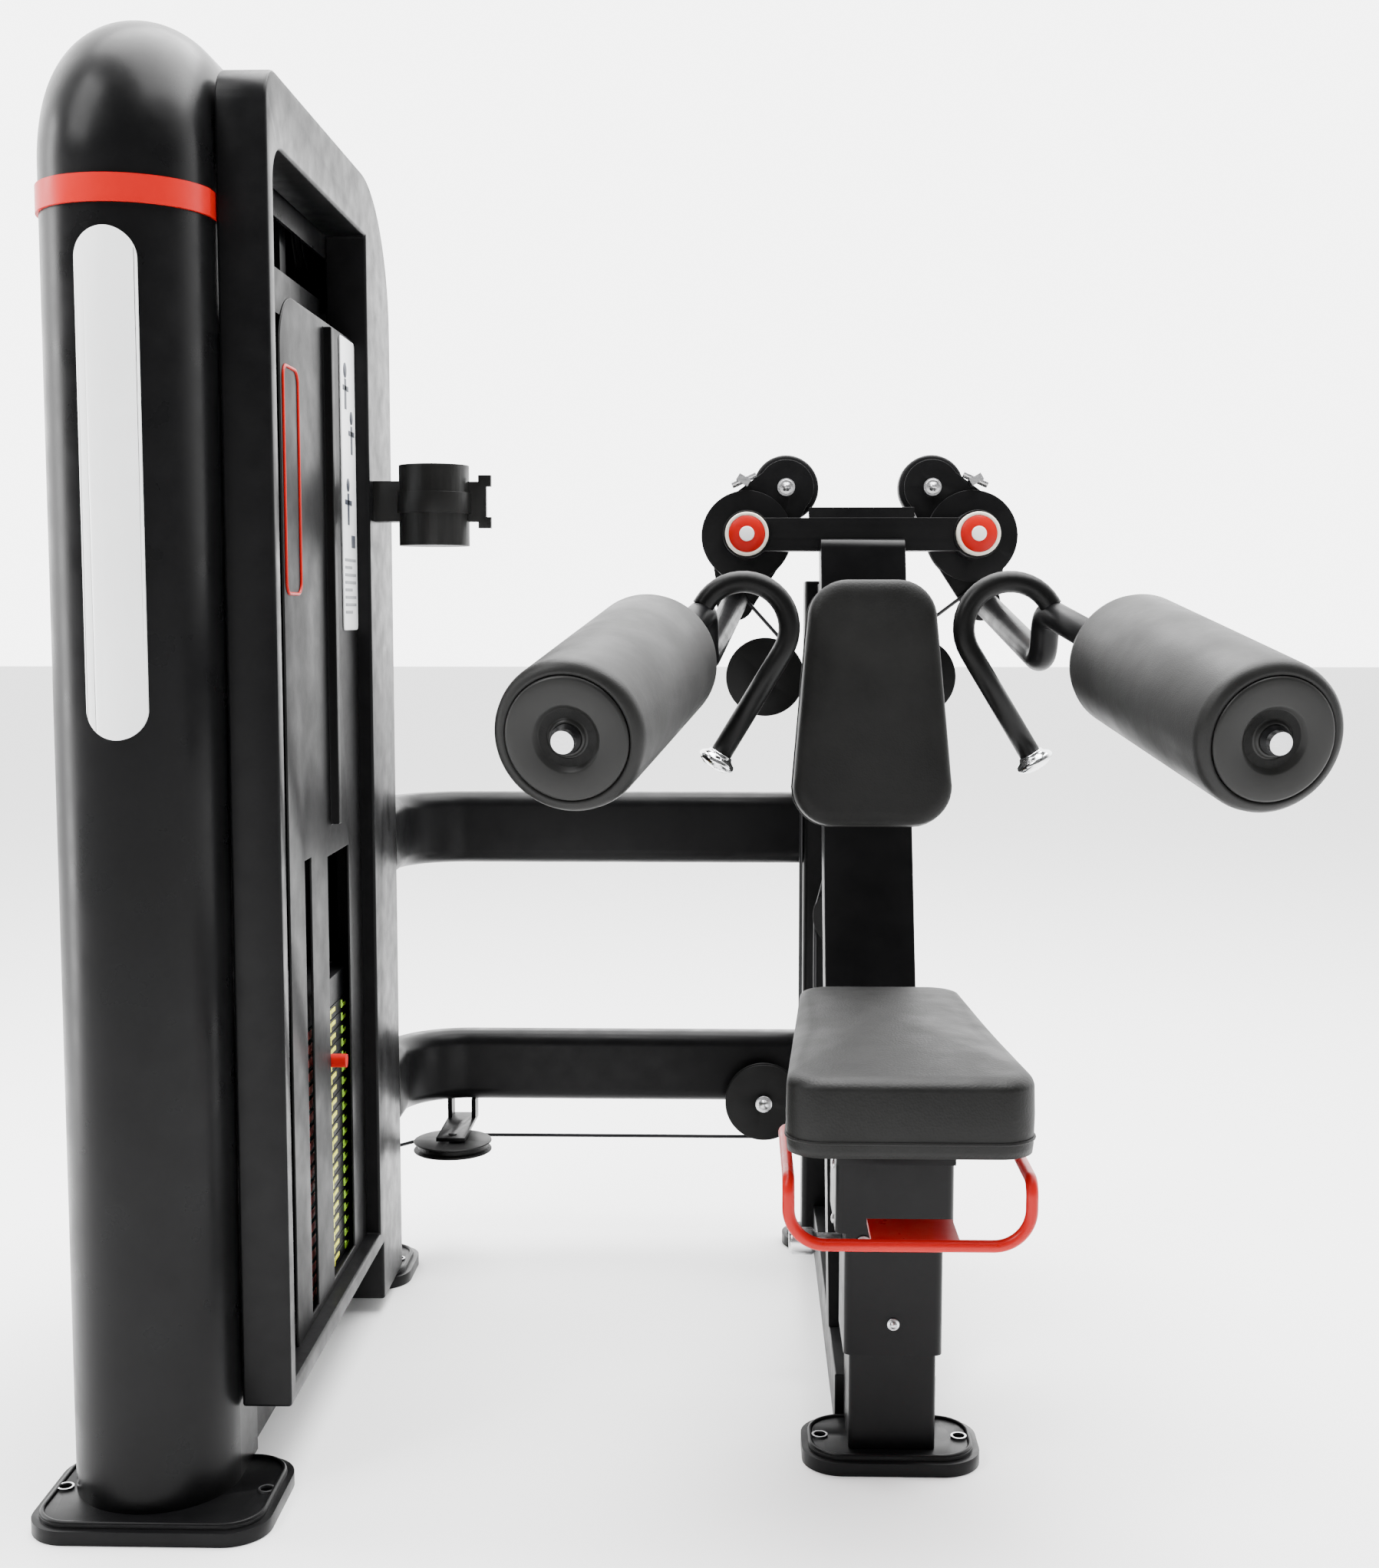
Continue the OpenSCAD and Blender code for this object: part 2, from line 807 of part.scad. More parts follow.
// Cable cam, counterweight lug and arm lug around the axle
module cam_lever(side) {
  color("#1e1e1f")
    arm_frame(side)
      difference() {
        union() {
          translate([0, lever_y0 + lever_t, 0])
            rotate([90, 0, 0])
              linear_extrude(height = lever_t)
                union() {
                  circle(r = cam_r);
                  translate([weight_x, weight_z]) circle(r = 38);
                  polygon([[-54, 20], [54, 20], [weight_x + 36, weight_z + 6],
                           [weight_x - 36, weight_z + 6]]);
                  translate([-33, -85]) circle(r = 26);
                  polygon([[-60, -10], [20, -56], [-8, -90], [-57, -90]]);
                }
          translate([0, cable_y, 0]) rotate([90, 0, 0]) wheel(cam_r, groove_r, cam_t, 20);
          y_disc(0, 0, 24, cam_y0, lever_y0 + lever_t);
          y_disc(0, 0, 24, cam_y0 + cam_t, lever_y0);
        }
        y_disc(0, 0, axle_r + 0.05, 300, 500);
        y_disc(weight_x, weight_z, 6, 300, 500);
      }
}

module counterweight(side) {
  y0 = lever_y0 + lever_t;
  color("#232324")
    arm_frame(side)
      difference() {
        y_disc(weight_x, weight_z, weight_r, y0, y0 + weight_t);
        y_disc(weight_x, weight_z, 6, y0 - 1, y0 + weight_t + 1);
      }
}

// Cap over the front end of the axle housing
module hub_cap(side) {
  y1 = bar_y0 - 4;
  color("#d3271f")
    arm_frame(side)
      difference() {
        union() {
          y_disc(0, 0, 29, y1 - 14, y1 - 0.4);
          y_disc(0, 0, 25, y1 - 18, y1 - 0.4);
        }
        y_disc(0, 0, axle_r + 0.3, y1 - 9, y1 + 1);
      }
}

// Tube from a boss on the lever forward to an elbow, up to the stub that carries the roller spindle
module arm_tube(side) {
  a = [-32, lever_y0, -80];
  b = [-40, 110, -168];
  c = [roller_x, roller_y, roller_z] - stub_l * roller_axis;
  color("#1c1c1d")
    arm_frame(side)
      union() {
        difference() {
          union() {
            rod(a, b, arm_r);
            translate(b) sphere(r = arm_r + weld);
            rod(b, c, arm_r);
            translate(c) sphere(r = arm_r + weld);
            roller_frame() translate([0, 0, -stub_l]) cylinder(r = arm_r, h = stub_l - 16);
            roller_frame() translate([0, 0, -60]) cylinder(r = spindle_r, h = roller_l + 60);
          }
          translate([-200, tube_y1, -200]) cube([400, 100, 400]);
        }
        y_disc(boss_x, boss_z, boss_r, tube_y1 - 8, lever_y0);
      }
}

// Bent hand grip: up from the stub, over the arch and down along the arm to the grip end
module handle(side) {
  color("#161617")
    arm_frame(side)
      difference() {
        union() {
          translate([handle_x + handle_bend, handle_y, handle_foot])
            cylinder(r = handle_r, h = handle_z - handle_foot);
          translate([handle_x, handle_y, handle_z])
            rotate([90, 0, 0])
              for (start = [0, 90])
                rotate([0, 0, start])
                  rotate_extrude(angle = 90) translate([handle_bend, 0]) circle(r = handle_r);
          grip_frame() translate([0, 0, -grip_l]) cylinder(r = handle_r, h = grip_l);
        }
        roller_frame() translate([0, 0, -stub_l - 20]) cylinder(r = arm_r, h = stub_l);
      }
}

// Inner end of the arch, with -Z running along the grip to its end
module grip_frame() {
  translate([handle_x - handle_bend, handle_y, handle_z]) children();
}

// Bright flared cap on the grip
module handle_end(side) {
  color("#d9dcde")
    arm_frame(side)
      grip_frame()
        translate([0, 0, -grip_l])
          rotate_extrude()
            polygon([[0, 0], [14.5, 0], [16, -4], [22, -8], [23.5, -12], [21.5, -16], [14, -20],
                     [0, -22]]);
}

// Bolts of the counterweight, the roller spindle and the rest stop
module arm_bolts(side) {
  y0 = lever_y0 + lever_t + weight_t;
  color("#c4c7c9")
    arm_frame(side) {
      y_disc(weight_x, weight_z, 5.95, lever_y0 - 6, y0 + 6);
      y_disc(weight_x, weight_z, 12, lever_y0 - 10, lever_y0);
      roller_frame() translate([0, 0, roller_l]) cylinder(r = 11, h = 8);
      translate([44, lever_y0 - 12, 62]) rotate([0, -35, 0]) translate([0, 0, -16]) cylinder(r = 5, h = 36);
      block([34, lever_y0 - 20, 58], [52, lever_y0, 68]);
    }
}

// Foam sleeve of the roller
module roller_pad(side) {
  color("#3b3b39")
    arm_frame(side)
      roller_frame()
        difference() {
          cylinder(r = roller_d / 2, h = roller_l - 6);
          translate([0, 0, -1]) cylinder(r = core_r, h = roller_l + 2);
        }
}

// Plastic core that turns on the spindle, with the dished cap at its front
module roller_core(side) {
  cap_r = roller_d / 2 - 14;
  color("#2f2f2e")
    arm_frame(side)
      roller_frame()
        rotate_extrude()
          polygon([[spindle_r + 0.05, 0], [core_r, 0], [core_r, roller_l - 6], [cap_r, roller_l - 6],
                   [cap_r, roller_l - 2], [cap_r - 3, roller_l], [30, roller_l],
                   [27, roller_l - 4], [spindle_r + 0.05, roller_l - 4]]);
}

module left_cam_lever() { cam_lever(-1); }
module left_counterweight() { counterweight(-1); }
module left_hub_cap() { hub_cap(-1); }
module left_arm_tube() { arm_tube(-1); }
module left_handle() { handle(-1); }
module left_handle_end() { handle_end(-1); }
module left_arm_bolts() { arm_bolts(-1); }
module left_roller_pad() { roller_pad(-1); }
module left_roller_core() { roller_core(-1); }
module right_cam_lever() { cam_lever(1); }
module right_counterweight() { counterweight(1); }
module right_hub_cap() { hub_cap(1); }
module right_arm_tube() { arm_tube(1); }
module right_handle() { handle(1); }
module right_handle_end() { handle_end(1); }
module right_arm_bolts() { arm_bolts(1); }
module right_roller_pad() { roller_pad(1); }
module right_roller_core() { roller_core(1); }

// ---- weight stack ----

module weight_plates() {
  color("#262628")
    for (i = [0 : plate_count])
      translate([stack_x, stack_y, stack_z0 + i * plate_t])
        difference() {
          linear_extrude(height = i == plate_count ? 34 : plate_t - 1.5)
            difference() {
              square([stack_w, stack_l], center = true);
              for (side = [-1, 1])
                translate([0, side * rod_gap_y]) circle(r = rod_r + 1);
              circle(r = 12.5);
            }
          if (i < plate_count)
            translate([0, 0, pin_rise]) rotate([0, 90, 0]) cylinder(r = 4.2, h = stack_w);
        }
}

// Drilled rod through the plates, with a collar under the cable end
module selector_rod() {
  top = stack_top + 34;
  color("#b4b7b9")
    translate([stack_x, stack_y, stack_z0])
      difference() {
        union() {
          cylinder(r = 12, h = top - stack_z0);
          translate([0, 0, top - stack_z0]) cylinder(r = 18, h = 16);
        }
        for (i = [0 : plate_count - 1])
          translate([0, 0, i * plate_t + pin_rise])
            rotate([0, 90, 0]) cylinder(r = 4, h = 60, center = true);
      }
}

// Number tags on the plate edges facing the seat
module plate_labels() {
  face = stack_x + stack_w / 2;
  color("#d7d23a")
    for (i = [0 : plate_count - 1])
      block([face, -6, stack_z0 + i * plate_t + 2],
            [face + 1, 27, stack_z0 + i * plate_t + 12]);
}

// Selector pin pushed into the fourth plate from the top
module selector_pin() {
  z = stack_z0 + (plate_count - 4) * plate_t + pin_rise;
  face = stack_x + stack_w / 2;
  color("#c8201b")
    union() {
      rod([stack_x - 11, stack_y, z], [face + 6, stack_y, z], 3.6);
      rod([face + 2, stack_y, z], [face + 26, stack_y, z], 8);
    }
}

// Cable from the top pulley straight down to the selector rod
module lift_cable() {
  color("#101011")
    translate([stack_x, lift_y, stack_top + 50])
      cylinder(r = cable_r, h = top_pulley_z - stack_top - 50);
}

// Cable path from a cam over its upper pulley, drawn on the right
module cam_cable(wheel_at, leave) {
  cam_ring = groove_r + cable_off;
  dx = wheel_at - pivot_x;
  dz = upper_z - pivot_z;
  aim = atan2(dz, dx) + acos((cam_ring + cable_ring) / norm([dx, dz]));
  start = [pivot_x + cam_ring * cos(aim), cable_y, pivot_z + cam_ring * sin(aim)];
  end = [wheel_at - cable_ring * cos(aim), cable_y, upper_z - cable_ring * sin(aim)];
  cable_bend_xz(pivot_x, pivot_z, cam_ring, aim, 60);
  cable(start, end);
  cable_bend_xz(wheel_at, upper_z, cable_ring, aim + 180, leave - aim - 180);
}

// Moving cables from the arm cams round the pulleys to the top of the tower
module cable_run() {
  mid_ring = mid_groove + cable_off;
  dx = mid_x - right_x;
  dz = mid_z - upper_z;
  aim = atan2(dz, dx) - acos((cable_ring - mid_ring) / norm([dx, dz])) + 360;
  color("#101011") {
    union() {
      mirror([1, 0, 0]) cam_cable(side_x, 180);
      cable([-cable_x, cable_y, lower_z], [-cable_x, cable_y, upper_z]);
      cable_bend_xz(-side_x, lower_z, cable_ring, -90, 90);
      cable([-side_x, cable_y, run_z], [beam_pulley_x, cable_y, run_z]);
      translate([beam_pulley_x, beam_pulley_y, run_z])
        rotate([0, 0, 90])
          rotate_extrude(angle = beam_turn) translate([cable_ring, 0]) cable_section();
      cable([turn_x, turn_y, run_z], [base_x, base_y, run_z]);
      translate([base_x, base_y, run_z + base_ring])
        rotate([90, 0, beam_turn])
          rotate([0, 0, 180])
            rotate_extrude(angle = 90) translate([base_ring, 0]) cable_section();
      cable([stack_x, rise_y, run_z + base_ring], [stack_x, rise_y, top_pulley_z]);
      cable_bend_yz(stack_x, top_rear_y, top_pulley_z, cable_ring, 0, 90);
      cable([stack_x, top_rear_y, top_pulley_z + cable_ring],
          [stack_x, top_front_y, top_pulley_z + cable_ring]);
      cable_bend_yz(stack_x, top_front_y, top_pulley_z, cable_ring, 90, 90);
    }
    union() {
      cam_cable(right_x, aim);
      cable([right_x + cable_ring * cos(aim), cable_y, upper_z + cable_ring * sin(aim)],
          [mid_x + mid_ring * cos(aim), cable_y, mid_z + mid_ring * sin(aim)]);
      cable_bend_xz(mid_x, mid_z, mid_ring, aim, 180 - aim);
      cable([mid_x - mid_ring, cable_y, mid_z], [mid_x - mid_ring, cable_y, joint_z + 12]);
    }
  }
}

// ---- pulleys, brackets and cable ----

// Pins and plates that hold the outside pulleys
module pulley_brackets() {
  py0 = cable_y - pulley_t / 2;
  py1 = cable_y + pulley_t / 2;
  hang_z = beam_z_low - beam_h / 2;
  color("#262627") {
    for (side = [0, 1])
      mirror([side, 0, 0]) {
        pin_x = side == 0 ? right_x : side_x;
        union() {
          y_disc(pin_x, upper_z, pin_r, py0 - 8, py1 + 8);
          block([48, py1 + 1.5, upper_z - 14], [pin_x + 14, py1 + 8, upper_z + 14]);
          block([48, py1 + 1.5, upper_z - 14], [70, post_y0, upper_z + 70]);
        }
      }
    y_disc(-side_x, lower_z, pin_r, py0 - 8, beam_y - beam_t / 2);
    y_disc(mid_x, mid_z, pin_r, py0 - 8, post_y0);
    union() {
      translate([beam_pulley_x, beam_pulley_y, run_z - 14]) cylinder(r = pin_r, h = 30);
      block([beam_pulley_x - 20, beam_pulley_y - 20, run_z + 10],
            [beam_pulley_x + 20, beam_y + 15, run_z + 15]);
      for (x = [beam_pulley_x - 20, beam_pulley_x + 14])
        block([x, beam_y - 15, run_z + 15], [x + 6, beam_y + 15, hang_z]);
    }
    for (y = [top_front_y, top_rear_y])
      translate([stack_x - 10, y, top_pulley_z]) rotate([0, 90, 0]) cylinder(r = pin_r, h = 20);
    translate([base_x, base_y, run_z + base_ring])
      rotate([0, 0, beam_turn])
        union() {
          translate([0, 12, 0]) rotate([90, 0, 0]) cylinder(r = pin_r, h = 24);
          block([-12, 10, foot_t - run_z - base_ring], [6, 15, 10]);
        }
  }
}

module upper_left_pulley() {
  color("#2c2c2d") wheel_y(-side_x, upper_z, pulley_r, pulley_groove);
}

module upper_right_pulley() {
  color("#2c2c2d") wheel_y(right_x, upper_z, pulley_r, pulley_groove);
}

module mid_pulley() {
  color("#2c2c2d") wheel_y(mid_x, mid_z, mid_r, mid_groove);
}

module lower_pulley() {
  color("#2c2c2d") wheel_y(-side_x, lower_z, pulley_r, pulley_groove);
}

module beam_pulley() {
  color("#1f1f20")
    translate([beam_pulley_x, beam_pulley_y, run_z])
      wheel(pulley_r, pulley_groove, pulley_t, pulley_bore);
}

module base_pulley() {
  color("#2c2c2d")
    translate([base_x, base_y, run_z + base_ring])
      rotate([90, 0, beam_turn]) wheel(base_r, base_groove, pulley_t, pulley_bore);
}

module top_rear_pulley() {
  color("#2c2c2d") wheel_x(stack_x, top_rear_y, top_pulley_z);
}

module top_front_pulley() {
  color("#2c2c2d") wheel_x(stack_x, top_front_y, top_pulley_z);
}

tower_shrouds();
top_arch();
accent_rings();
light_panel();
frame_shell();
stack_cover();
placard();
feet();
tower_chassis();
guide_rods();
upper_beam();
lower_beam();
rear_post();
spine_tube();
base_runner();
crossbar();
arm_axles();
chest_pad();
pad_bracket();
seat_post();
bottle_holder();
pulley_brackets();
cable_run();
foot_bolts();
weight_plates();
selector_rod();
plate_labels();
selector_pin();
lift_cable();
seat_cushion();
seat_carriage();
seat_lever();
seat_knob();
left_cam_lever();
left_counterweight();
left_hub_cap();
left_arm_tube();
left_handle();
left_handle_end();
left_arm_bolts();
left_roller_pad();
left_roller_core();
right_cam_lever();
right_counterweight();
right_hub_cap();
right_arm_tube();
right_handle();
right_handle_end();
right_arm_bolts();
right_roller_pad();
right_roller_core();
upper_left_pulley();
upper_right_pulley();
mid_pulley();
lower_pulley();
beam_pulley();
base_pulley();
top_rear_pulley();
top_front_pulley();
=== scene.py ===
"""Lateral raise machine: looks built round the CAD frame."""
import json
import math
import random

import bpy
import bmesh
from mathutils import Matrix, Vector


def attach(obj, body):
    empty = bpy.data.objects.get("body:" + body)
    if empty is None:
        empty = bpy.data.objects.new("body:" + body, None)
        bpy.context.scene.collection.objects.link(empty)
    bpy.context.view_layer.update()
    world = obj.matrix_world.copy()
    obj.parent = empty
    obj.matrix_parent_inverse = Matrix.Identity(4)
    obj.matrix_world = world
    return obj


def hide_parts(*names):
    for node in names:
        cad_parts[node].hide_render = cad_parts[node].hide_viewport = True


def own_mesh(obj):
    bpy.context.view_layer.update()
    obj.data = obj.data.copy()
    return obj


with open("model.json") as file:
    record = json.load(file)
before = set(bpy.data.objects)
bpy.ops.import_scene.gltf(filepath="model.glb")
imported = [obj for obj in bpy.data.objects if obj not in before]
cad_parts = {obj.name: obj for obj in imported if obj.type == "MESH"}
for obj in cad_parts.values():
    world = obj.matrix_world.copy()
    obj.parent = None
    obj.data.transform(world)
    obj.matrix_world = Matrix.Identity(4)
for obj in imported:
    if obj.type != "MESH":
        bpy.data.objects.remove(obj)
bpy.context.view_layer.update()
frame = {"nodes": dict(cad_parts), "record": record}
scene = bpy.context.scene
random.seed(7)

# ---- camera at the height of a standing person's chest, looking along the seat ----
camera_data = bpy.data.cameras.new("photo_camera")
camera = bpy.data.objects.new("photo_camera", camera_data)
scene.collection.objects.link(camera)
camera.location = (-0.165, -2.2, 0.905)
camera.rotation_euler = (math.radians(90 - 5.18), 0, math.radians(1.485))
camera_data.lens = 43.15
camera_data.sensor_width = 36
camera_data.clip_end = 60
scene.camera = camera


# ---- materials ----
def shader(name, base, rough=0.5, metal=0.0, coat=0.0, coat_rough=0.1, spec=0.5):
    """A new material with its Principled node set to constants."""
    m = bpy.data.materials.new(name)
    m.use_nodes = True
    b = m.node_tree.nodes["Principled BSDF"]
    b.inputs["Base Color"].default_value = (*base, 1)
    b.inputs["Roughness"].default_value = rough
    b.inputs["Metallic"].default_value = metal
    b.inputs["Coat Weight"].default_value = coat
    b.inputs["Coat Roughness"].default_value = coat_rough
    b.inputs["Specular IOR Level"].default_value = spec
    return m, m.node_tree, b


def noise(tree, scale, detail=3.0, rough=0.55, stretch=None):
    """Noise in object coordinates."""
    tex = tree.nodes.new("ShaderNodeTexNoise")
    tex.inputs["Scale"].default_value = scale
    tex.inputs["Detail"].default_value = detail
    tex.inputs["Roughness"].default_value = rough
    coord = tree.nodes.new("ShaderNodeTexCoord")
    if stretch:
        mp = tree.nodes.new("ShaderNodeMapping")
        mp.inputs["Scale"].default_value = stretch
        tree.links.new(coord.outputs["Object"], mp.inputs["Vector"])
        tree.links.new(mp.outputs["Vector"], tex.inputs["Vector"])
    else:
        tree.links.new(coord.outputs["Object"], tex.inputs["Vector"])
    return tex


def ramp(tree, source, low, high, at=(0.3, 0.7)):
    """Maps a 0..1 value to a range."""
    r = tree.nodes.new("ShaderNodeMapRange")
    r.inputs["From Min"].default_value, r.inputs["From Max"].default_value = at
    r.inputs["To Min"].default_value, r.inputs["To Max"].default_value = low, high
    tree.links.new(source, r.inputs["Value"])
    return r.outputs["Result"]


def bump(tree, b, source, strength, distance):
    """Adds a bump after any already linked."""
    n = tree.nodes.new("ShaderNodeBump")
    n.inputs["Strength"].default_value = strength
    n.inputs["Distance"].default_value = distance
    tree.links.new(source, n.inputs["Height"])
    for link in b.inputs["Normal"].links:
        tree.links.new(link.from_socket, n.inputs["Normal"])
    tree.links.new(n.outputs["Normal"], b.inputs["Normal"])


def tint(tree, b, source, dark, light, at=(0.35, 0.65)):
    """Mixes two colours by a value into the base colour."""
    r = tree.nodes.new("ShaderNodeValToRGB")
    r.color_ramp.elements[0].position, r.color_ramp.elements[1].position = at
    r.color_ramp.elements[0].color = (*dark, 1)
    r.color_ramp.elements[1].color = (*light, 1)
    tree.links.new(source, r.inputs["Fac"])
    tree.links.new(r.outputs["Color"], b.inputs["Base Color"])


def powder_coat(name, dark, light, rough=0.38, spec=0.11):
    """Satin powder coat: fine orange peel and faint cloudiness."""
    m, t, b = shader(name, dark, rough, spec=spec)
    cloud = noise(t, 4.0, 4.0)
    tint(t, b, cloud.outputs["Fac"], dark, light)
    t.links.new(ramp(t, noise(t, 35, 4).outputs["Fac"], rough - 0.05, rough + 0.09), b.inputs["Roughness"])
    bump(t, b, noise(t, 900, 2).outputs["Fac"], 0.10, 0.0006)
    return m


def plastic(name, dark, light, rough, coat=0.0, grain=600, depth=0.0004, strength=0.1, spec=0.3):
    """Moulded plastic with a fine grain."""
    m, t, b = shader(name, dark, rough, coat=coat, coat_rough=0.18, spec=spec)
    tint(t, b, noise(t, 6, 3).outputs["Fac"], dark, light)
    t.links.new(ramp(t, noise(t, 22, 4).outputs["Fac"], rough - 0.05, rough + 0.08), b.inputs["Roughness"])
    bump(t, b, noise(t, grain, 2).outputs["Fac"], strength, depth)
    return m


def metal(name, base, rough, stretch=(1, 1, 40), scale=60):
    """Bright metal with drawn lines and a changing polish."""
    m, t, b = shader(name, base, rough, metal=1.0)
    lines = noise(t, scale, 4, stretch=stretch)
    t.links.new(ramp(t, lines.outputs["Fac"], rough - 0.06, rough + 0.12), b.inputs["Roughness"])
    tint(t, b, noise(t, 12, 3).outputs["Fac"], tuple(c * 0.82 for c in base), base)
    bump(t, b, lines.outputs["Fac"], 0.05, 0.0003)
    return m


def vinyl(name, dark, light, rough=0.52, grain=420, strength=0.22):
    """Upholstery vinyl: pebbled cells over a slow colour drift."""
    m, t, b = shader(name, dark, rough, spec=0.16)
    tint(t, b, noise(t, 9, 4).outputs["Fac"], dark, light)
    cell = t.nodes.new("ShaderNodeTexVoronoi")
    cell.inputs["Scale"].default_value = grain
    coord = t.nodes.new("ShaderNodeTexCoord")
    t.links.new(coord.outputs["Object"], cell.inputs["Vector"])
    t.links.new(ramp(t, noise(t, 18, 4).outputs["Fac"], rough - 0.06, rough + 0.08), b.inputs["Roughness"])
    bump(t, b, cell.outputs["Distance"], strength, 0.0008)
    bump(t, b, noise(t, 45, 3).outputs["Fac"], 0.12, 0.002)
    return m


MATS = {
    "frame_black": powder_coat("frame_black", (0.0030, 0.0030, 0.0033), (0.0050, 0.0050, 0.0053), 0.34),
    "shroud_black": plastic("shroud_black", (0.0028, 0.0028, 0.0030), (0.0042, 0.0042, 0.0045), 0.30,
                            coat=0.02, spec=0.10),
    "accent_red": plastic("accent_red", (0.40, 0.004, 0.003), (0.46, 0.006, 0.005), 0.32, spec=0.12),
    "lever_red": powder_coat("lever_red", (0.36, 0.003, 0.003), (0.42, 0.005, 0.005), 0.30, spec=0.18),
    "panel_white": plastic("panel_white", (0.88, 0.89, 0.89), (0.94, 0.95, 0.95), 0.35, coat=0.2),
    "placard_grey": plastic("placard_grey", (0.74, 0.75, 0.76), (0.82, 0.83, 0.84), 0.35),
    "cover_black": plastic("cover_black", (0.0026, 0.0026, 0.0028), (0.0040, 0.0040, 0.0042), 0.40,
                           grain=300, strength=0.2, spec=0.08),
    "pad_charcoal": vinyl("pad_charcoal", (0.0048, 0.0048, 0.0046), (0.0072, 0.0072, 0.0068)),
    "roller_foam": vinyl("roller_foam", (0.0066, 0.0066, 0.0064), (0.0092, 0.0092, 0.0088), 0.46, 700, 0.12),
    "cap_plastic": plastic("cap_plastic", (0.0080, 0.0080, 0.0077), (0.0120, 0.0120, 0.0114), 0.38,
                           spec=0.18),
    "plate_iron": powder_coat("plate_iron", (0.0045, 0.0045, 0.005), (0.008, 0.008, 0.0085), 0.42),
    "label_yellow": plastic("label_yellow", (0.60, 0.62, 0.04), (0.74, 0.74, 0.06), 0.4),
    "steel_bright": metal("steel_bright", (0.62, 0.62, 0.63), 0.28),
    "chrome_bright": metal("chrome_bright", (0.80, 0.81, 0.82), 0.10),
    "pulley_black": plastic("pulley_black", (0.004, 0.004, 0.004), (0.008, 0.008, 0.008), 0.4, spec=0.12),
    "cable_black": plastic("cable_black", (0.004, 0.004, 0.005), (0.008, 0.008, 0.010), 0.35),
    "cream_ring": plastic("cream_ring", (0.72, 0.66, 0.55), (0.82, 0.76, 0.66), 0.35),
    "print_grey": plastic("print_grey", (0.20, 0.21, 0.22), (0.26, 0.27, 0.28), 0.5),
    "print_dark": plastic("print_dark", (0.03, 0.035, 0.05), (0.05, 0.055, 0.07), 0.5),
    "mark_green": plastic("mark_green", (0.30, 0.62, 0.03), (0.38, 0.72, 0.05), 0.4),
    "mark_pink": plastic("mark_pink", (0.70, 0.14, 0.12), (0.80, 0.20, 0.17), 0.4),
    "grip_black": plastic("grip_black", (0.0028, 0.0028, 0.0028), (0.0042, 0.0042, 0.0042), 0.36,
                          grain=260, strength=0.25, spec=0.12),
}

for part in frame["record"]["subparts"]:
    obj = frame["nodes"].get(part["node"])
    if obj is not None and obj.type == "MESH":
        for s in obj.material_slots:
            s.material = MATS[part["material_slot"]]


def mesh_object(name, bm, material, smooth=True):
    """Turns a bmesh into an object of the scene."""
    mesh = bpy.data.meshes.new(name)
    bm.to_mesh(mesh)
    bm.free()
    if smooth:
        mesh.polygons.foreach_set("use_smooth", [True] * len(mesh.polygons))
    o = bpy.data.objects.new(name, mesh)
    scene.collection.objects.link(o)
    o.data.materials.append(material)
    return o


# ---- shared mesh helpers ----
SLOT_OF = {p["node"]: p["material_slot"] for p in frame["record"]["subparts"]}

def mm(*v):
    """Millimetres to a vector in metres."""
    return Vector(v) / 1000


PIVOT = mm(154, 0, 1011)
REST_ANGLE = math.radians(31)
ROLLER_REAR = mm(8.7, -158, -185)
ROLLER_YAW, ROLLER_PITCH = math.radians(4), math.radians(105.8)
ARM_TURN = Matrix.Translation(PIVOT) @ Matrix.Rotation(-REST_ANGLE, 4, "Y")
ROLLER_TURN = (ARM_TURN @ Matrix.Translation(ROLLER_REAR) @ Matrix.Rotation(ROLLER_YAW, 4, "Z")
               @ Matrix.Rotation(ROLLER_PITCH, 4, "X"))
MIRROR = Matrix.Diagonal((-1, 1, 1, 1))
FACE = Matrix.Rotation(math.radians(90), 4, "X")


def front(x, y, z):
    """Places a lathed part at a mm point with its axis towards the user."""
    return Matrix.Translation(mm(x, y, z)) @ FACE


def add(name, bm, slot, body, node=None, turn=None, smooth=True):
    """Makes a piece, names its finish and the body it rides on, and lets it stand for a CAD node."""
    if turn is not None:
        bmesh.ops.transform(bm, matrix=turn, verts=bm.verts)
        if turn.determinant() < 0:
            bmesh.ops.reverse_faces(bm, faces=bm.faces)
    bmesh.ops.recalc_face_normals(bm, faces=bm.faces)
    o = mesh_object(name, bm, MATS[slot], smooth)
    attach(o, body)
    if node:
        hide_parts(*([node] if isinstance(node, str) else node))
    return o


def both(name, make, slot, body, node=None, turn=ARM_TURN, smooth=True):
    """The same piece on the right arm and mirrored on the left arm."""
    out = {}
    for side, m in (("right", turn), ("left", MIRROR @ turn)):
        stands_for = f"{side}_{node}" if node else None
        out[side] = add(f"{side}_{name}", make(), slot, f"{side}_{body}", stands_for, m, smooth)
    return out


def lathe(profile, segments=96):
    """Turns a list of (radius, height) in mm round the Z axis."""
    bm = bmesh.new()
    rings = []
    for r, z in profile:
        if r < 1e-6:
            rings.append([bm.verts.new(mm(0, 0, z))])
        else:
            turns = [2 * math.pi * i / segments for i in range(segments)]
            rings.append([bm.verts.new(mm(r * math.cos(a), r * math.sin(a), z)) for a in turns])
    for a, b in zip(rings, rings[1:]):
        for i in range(segments):
            quad = [a[i % len(a)], a[(i + 1) % len(a)], b[(i + 1) % len(b)], b[i % len(b)]]
            face = list(dict.fromkeys(quad))
            if len(face) > 2:
                bm.faces.new(face)
    return bm


